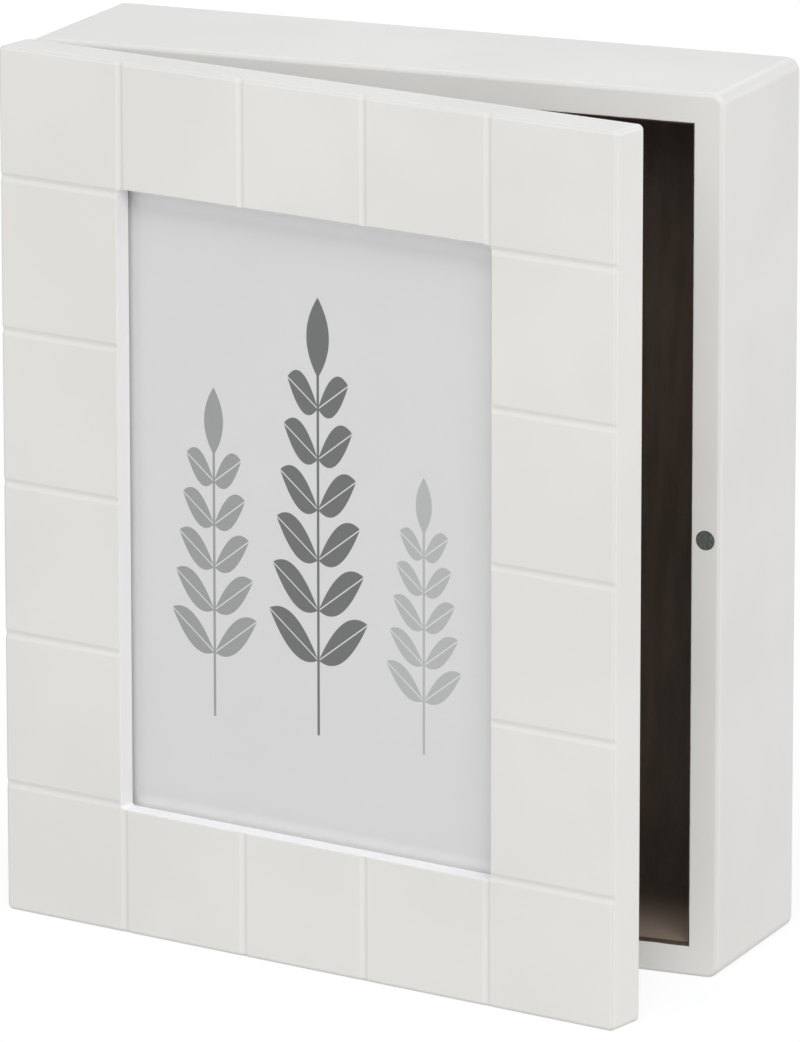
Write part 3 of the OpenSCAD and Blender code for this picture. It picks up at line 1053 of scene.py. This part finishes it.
def hardboard(name, painted_front):
    """Pressed brown fibreboard with a screen pattern, and the lining's stain in front if painted."""
    finish, nodes = new_finish(name)
    where = nodes.place()
    x, y, z = nodes.parts(where)
    fibres = nodes.noise(nodes.place(Scale=(900, 900, 500)), 1, 4)
    cloud = nodes.noise(where, 45, 3)
    fibre_mix = 0.6 * fibres + 0.4 * cloud
    colour = nodes.mix(fibre_mix.ramp(0.35, 0.65), HARDBOARD, HARDBOARD_DARK)
    screen_wave = 5200
    screen = nodes.math("SINE", x * screen_wave) * nodes.math("SINE", z * screen_wave)
    height = 0.7 * fibres + 0.15 * screen
    roughness = 0.6 + 0.15 * fibres
    if painted_front:
        behind = (y - panel_low.y).ramp(0.2 * MM, 0.5 * MM)
        colour = nodes.mix(behind, stained(nodes, GRAIN_UP), colour)
    nodes.coat(Base_Color=colour, Roughness=roughness, Normal=nodes.bump(height, 0.06 * MM))
    return finish


def metal(name, bright, dull, gloss, stretch):
    """A metal with cloudy tarnish and fine brush marks along one axis."""
    finish, nodes = new_finish(name)
    cloud = nodes.noise(nodes.place(), 260, 3)
    brushed = nodes.noise(nodes.place(Scale=stretch), 1, 2)
    colour = nodes.mix(cloud.ramp(0.4, 0.75), bright, dull)
    roughness = gloss + 0.12 * brushed + 0.08 * cloud
    nodes.coat(
        Base_Color=colour, Metallic=1.0, Roughness=roughness, Normal=nodes.bump(brushed, 0.004 * MM)
    )
    return finish


def magnet_plating():
    """Dull grey magnet with a pitted face."""
    finish, nodes = new_finish("dull_magnet")
    where = nodes.place()
    pits = nodes.noise(where, 1500, 3)
    colour = nodes.mix(pits.ramp(0.35, 0.65), shade(74, 78, 75), shade(102, 106, 103))
    nodes.coat(
        Base_Color=colour, Metallic=0.4, Roughness=0.5 + 0.15 * pits, Normal=nodes.bump(pits, 0.03 * MM)
    )
    return finish


def birch():
    """Pale dowel wood with its grain along Z."""
    finish, nodes = new_finish("birch_dowel")
    grain = nodes.noise(nodes.place(Scale=(900, 900, 60)), 1, 4)
    colour = nodes.mix(grain.ramp(0.3, 0.7), shade(214, 184, 142), shade(186, 150, 106))
    nodes.coat(Base_Color=colour, Roughness=0.6 + 0.1 * grain)
    return finish


def clear_glass():
    """Thin picture glass: clear, with the sheen of its face."""
    finish, nodes = new_finish("clear_picture_glass")
    smear = nodes.noise(nodes.place(), 18, 3)
    tint = shade(235, 240, 238)
    sheen = nodes.principled(Base_Color=tint, Metallic=1.0, Roughness=0.03 + 0.05 * smear)
    see_through = nodes.add("ShaderNodeBsdfTransparent", None, {"Color": (1, 1, 1, 1)})
    facing_out = 1 - nodes.add("ShaderNodeNewGeometry", out="Backfacing")
    share = facing_out * nodes.add("ShaderNodeFresnel", None, {"IOR": 1.45})
    nodes.show(nodes.add("ShaderNodeMixShader", None, {0: share, 1: see_through, 2: sheen}))
    return finish


PAPER = shade(214, 213, 213)
PAPER_CLOUD = shade(212, 211, 211)
# Painted light for the card's shaded edges.
PAPER_LIT_MARGIN = shade(241, 240, 240)
SPRIG_DARK = shade(100, 100, 100)
SPRIG_MIDDLE = shade(150, 150, 150)
SPRIG_LIGHT = shade(176, 176, 176)


def sprig(across, up, foot, height, spacing, reach):
    """Where one upright sprig is printed, in millimetres: a stem, pairs of leaves and a tip leaf."""
    crisp = 0.18
    side = abs(across - foot[0])
    rise = up - foot[1]
    slant = rise - 0.75 * side
    pair = math.floor(slant / spacing)
    length = reach * (1.05 - 0.6 * spacing / height * pair)
    share = side / length
    half_leaf = 1.55 * spacing * share * (1 - share)
    off_vein = abs(slant - spacing * (pair + 0.5))
    leaves = (half_leaf - off_vein).ramp(0, crisp) * off_vein.ramp(0.12, 0.3)
    leaves = leaves * (slant - spacing).ramp(0, crisp) * (height - spacing - slant).ramp(0, crisp)
    stem = (0.5 - side).ramp(0, crisp) * rise.ramp(0, crisp) * (height - rise).ramp(0, crisp)
    tip_share = (rise - height + 0.9 * spacing) / (1.6 * spacing)
    tip_leaf = (1.1 * spacing * tip_share * (1 - tip_share) - side).ramp(0, crisp)
    return leaves.larger(stem).larger(tip_leaf)


def printed_card():
    """Pale grey card with painted light along the edges that the lip shades, and leaf sprigs in three
    greys.
    """
    finish, nodes = new_finish("printed_picture_card")
    low, high = shut_box("picture_insert")
    on_card = along_door(nodes, (low + high) / 2)
    across, depth, up = nodes.parts(on_card)
    tooth = nodes.noise(on_card, 3.2, 3)
    cloud = nodes.noise(on_card, 0.03, 2)
    colour = nodes.mix((0.5 * tooth + 0.5 * cloud).ramp(0.35, 0.65), PAPER, PAPER_CLOUD)
    # Painted light: a paler card along the edges, to lift the shade that the lip casts there.
    left_end, low_end, high_end = -63.4, -87.6, 85.2
    left_margin, left_paleness, end_margin = 3.5, 0.7, 5
    pale_left = (across - left_end).ramp(0, left_margin, left_paleness, 0)
    pale_low = (up - low_end).ramp(0, end_margin, 1, 0)
    pale_high = (high_end - up).ramp(0, end_margin, 1, 0)
    colour = nodes.mix(pale_left.larger(pale_low).larger(pale_high), colour, PAPER_LIT_MARGIN)
    ink = (0.92 + 0.16 * tooth).ramp(0.8, 1.0)
    prints = [
        (SPRIG_DARK, (0, -58), 112, 14.0, 17.0),
        (SPRIG_MIDDLE, (-35, -58), 84, 12.0, 15.0),
        (SPRIG_LIGHT, (35, -58), 70, 10.0, 13.0),
    ]
    for grey, foot, height, spacing, reach in prints:
        colour = nodes.mix(ink * sprig(across, up, foot, height, spacing, reach), colour, grey)
    nodes.coat(Base_Color=colour, Roughness=0.75 + 0.1 * tooth, Normal=nodes.bump(tooth, 0.008 * MM))
    return finish


# The case and what is fixed to it
white_and_brown = white_painted_and_lined()
white = white_painted()
stain = dark_stained()
back_board = hardboard("hardboard_stained_inside", True)
backing_fibre = hardboard("hardboard_backing", False)
steel = metal("satin_steel", shade(205, 206, 206), shade(168, 169, 168), 0.22, (3000, 3000, 200))
brass = metal("aged_brass", shade(208, 174, 108), shade(186, 150, 90), 0.26, (2500, 2500, 300))
magnet = magnet_plating()

for board, node in zip(model_boards(), ("top_board", "bottom_board", "left_board", "right_board")):
    fit(board, "case", "white_paint", white_and_brown, node)
fit(model_back_panel(), "case", "dark_paint", back_board, "back_panel")
fit(model_panel_pins(), "case", "steel", steel, "panel_pins")

one_hook = model_hook()
upper_rail_z, lower_rail_z = rail_heights()
for level, z in (("upper", upper_rail_z), ("lower", lower_rail_z)):
    rail = model_hook_rail(f"stained_{level}_rail", f"{level}_hook_rail", z)
    fit(rail, "case", "dark_paint", stain, f"{level}_hook_rail")
    fit(model_hooks(one_hook, f"bent_{level}_hooks", z), "case", "steel", steel, f"{level}_hooks")

rail_screw = model_countersunk_screw(rail_screw_r, rail_screw_head_r, rail_screw_l)
rail_screw_heads = [Vector((x, 0, z)) for x, z in rail_screw_places()]
rail_screws = set_screws("slotted_rail_screws", rail_screw, rail_screw_heads, -INWARD)
fit(rail_screws, "case", "steel", steel, "rail_screws")

case_disc = model_magnet("plated_case_magnet", *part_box("case_magnet"), -1)
fit(case_disc, "case", "steel", magnet, "case_magnet")

dowels = frame["nodes"]["corner_dowels"]
dowels.data.materials.clear()
dowels.data.materials.append(birch())

# Hinges
case_leaf = model_hinge_leaf("leaf", "case", "door", 1)
door_leaf = model_hinge_leaf("leaf", "door", "case", -1)
hinge_pin = model_hinge_pin("pin")
for level, z in (("upper", upper_hinge_z), ("lower", -upper_hinge_z)):
    stand = Matrix.Translation(hinge + z * UP)
    on_case = copied(case_leaf, f"rolled_{level}_case_leaf", stand)
    fit(on_case, "case", "brass", brass, f"{level}_case_leaf")
    on_door = copied(door_leaf, f"rolled_{level}_door_leaf", swing_ajar @ stand)
    fit(on_door, "door", "brass", brass, f"{level}_door_leaf")
    pin = copied(hinge_pin, f"domed_{level}_hinge_pin", stand)
    fit(pin, "case", "brass", brass, f"{level}_hinge_pin")

leaf_screw = model_countersunk_screw(leaf_screw_r, leaf_screw_head_r, leaf_screw_l)
in_case = set_screws("slotted_case_leaf_screws", leaf_screw, leaf_screw_places(1), INWARD)
fit(in_case, "case", "brass", brass, "case_leaf_screws")
in_door = set_screws("slotted_door_leaf_screws", leaf_screw, leaf_screw_places(-1), -INWARD)
fit(move(in_door, swing_ajar), "door", "brass", brass, "door_leaf_screws")

# The door and what is fixed to it
fit(move(model_door_frame(), swing_ajar), "door", "white_paint", white, "door_frame")
sheets = (
    ("clear_glass_pane", "glass_pane", glass_edge_r, "glass", clear_glass()),
    ("printed_picture", "picture_insert", card_edge_r, "picture_card", printed_card()),
    ("fibre_backing_board", "backing_board", backing_edge_r, "hardboard", backing_fibre),
)
for name, node, edge_r, slot, finish in sheets:
    fit(move(model_sheet(name, node, edge_r), swing_ajar), "door", slot, finish, node)
door_disc = move(model_magnet("plated_door_magnet", *shut_box("door_magnet"), 1), swing_ajar)
fit(door_disc, "door", "steel", magnet, "door_magnet")

button_screw = model_button_screw()
button_screws = set_screws("crossed_button_screws", button_screw, button_places(), INWARD)
fit(move(button_screws, swing_ajar), "door", "steel", steel, "button_screws")

one_button = model_turn_button()
first_place = button_places()[1]
button_names = ("upper_left_button", "upper_right_button", "lower_left_button", "lower_right_button")
for name, place in zip(button_names, button_places()):
    button = copied(one_button, f"pressed_{name}", swing_ajar @ Matrix.Translation(place - first_place))
    fit(button, name, "steel", steel, name)
for model in (one_hook, rail_screw, case_leaf, door_leaf, hinge_pin, leaf_screw, button_screw, one_button):
    bpy.data.objects.remove(model)


# Studio
TENT_LEVEL = 0.52
FLOOR_GLOW = 1.17
FLOOR_SPAN = 30
CAMERA_LENS = 333.3
CAMERA_PLACE = (1.02015, -2.393747, 0.625793)
CAMERA_ANGLES = (23.409, 13.874, -0.042)


def see_directly(nodes):
    """1 for the camera's rays and for those mirrored or seen through glass, else 0."""
    path = nodes.add("ShaderNodeLightPath").socket.node.outputs
    names = ("Is Camera Ray", "Is Glossy Ray", "Is Transmission Ray")
    seen, mirrored, through = (Value(nodes, path[name]) for name in names)
    return seen.larger(mirrored).larger(through)


def make_floor():
    """A wide white floor that glows from below, with a soft trace of the case's shadow near it."""
    bpy.ops.mesh.primitive_plane_add(size=FLOOR_SPAN, location=(0, 0, -case_h / 2))
    floor = settle("floor")
    finish, nodes = new_finish("white_floor")
    matt = nodes.add("ShaderNodeBsdfDiffuse", None, {"Color": shade(188, 188, 188)})
    glow = nodes.add("ShaderNodeEmission", None, {"Color": (1, 1, 1, 1), "Strength": FLOOR_GLOW})
    apart = nodes.add("ShaderNodeVectorMath", {"operation": "LENGTH"}, {0: nodes.place()}, out="Value")
    share = 0.45 + see_directly(nodes) * apart.ramp(0.6, 2.5, 0.3, 0.55)
    nodes.show(nodes.add("ShaderNodeMixShader", None, {0: share, 1: matt, 2: glow}))
    floor.data.materials.append(finish)


def make_world():
    """Even light from all round, white where it is seen directly."""
    world = bpy.data.worlds.new("light_tent")
    bpy.context.scene.world = world
    nodes = Nodes(world)
    tent = nodes.add("ShaderNodeBackground", None, {"Color": (1, 1, 1, 1), "Strength": TENT_LEVEL})
    white_wall = nodes.add("ShaderNodeBackground", None, {"Color": (1, 1, 1, 1), "Strength": 1.0})
    seen = nodes.add("ShaderNodeMixShader", None, {0: see_directly(nodes), 1: tent, 2: white_wall})
    nodes.show(seen, "ShaderNodeOutputWorld")


def add_softbox(name, azimuth, elevation, size, level, tint=(1, 1, 1)):
    """A square soft lamp facing the case; its level is the light it gives face on, 1 for full light."""
    distance = 4.0
    lamp = bpy.data.lights.new(name, "AREA")
    lamp.size = size
    lamp.color = tint
    lamp.energy = level * (math.pi * distance) ** 2
    around = Matrix.Rotation(math.radians(azimuth), 4, "Z")
    over = Matrix.Rotation(math.radians(90 - elevation), 4, "X")
    stand = bpy.data.objects.new(name, lamp)
    stand.matrix_world = around @ over @ Matrix.Translation((0, 0, distance))
    bpy.context.scene.collection.objects.link(stand)


def make_camera():
    """The camera, to the right of the case and above it."""
    yaw, pitch, roll = (math.radians(angle) for angle in CAMERA_ANGLES)
    lens = bpy.data.cameras.new("camera")
    lens.lens = CAMERA_LENS
    camera = bpy.data.objects.new("camera", lens)
    turn = Matrix.Rotation(yaw, 4, "Z") @ Matrix.Rotation(math.pi / 2 - pitch, 4, "X")
    stand = Matrix.Translation(CAMERA_PLACE)
    camera.matrix_world = stand @ turn @ Matrix.Rotation(roll, 4, "Z")
    bpy.context.scene.collection.objects.link(camera)
    bpy.context.scene.camera = camera


make_floor()
make_world()
add_softbox("key_softbox", azimuth=30, elevation=36, size=2.6, level=0.4)
add_softbox("front_softbox", azimuth=5, elevation=40, size=2.6, level=0.19)
add_softbox("right_softbox", azimuth=105, elevation=25, size=2.6, level=0.2, tint=(0.98, 1, 1.08))
add_softbox("overhead_softbox", azimuth=15, elevation=80, size=2.4, level=0.19, tint=(0.88, 1, 1.12))
make_camera()
bpy.context.scene.view_settings.view_transform = "Standard"
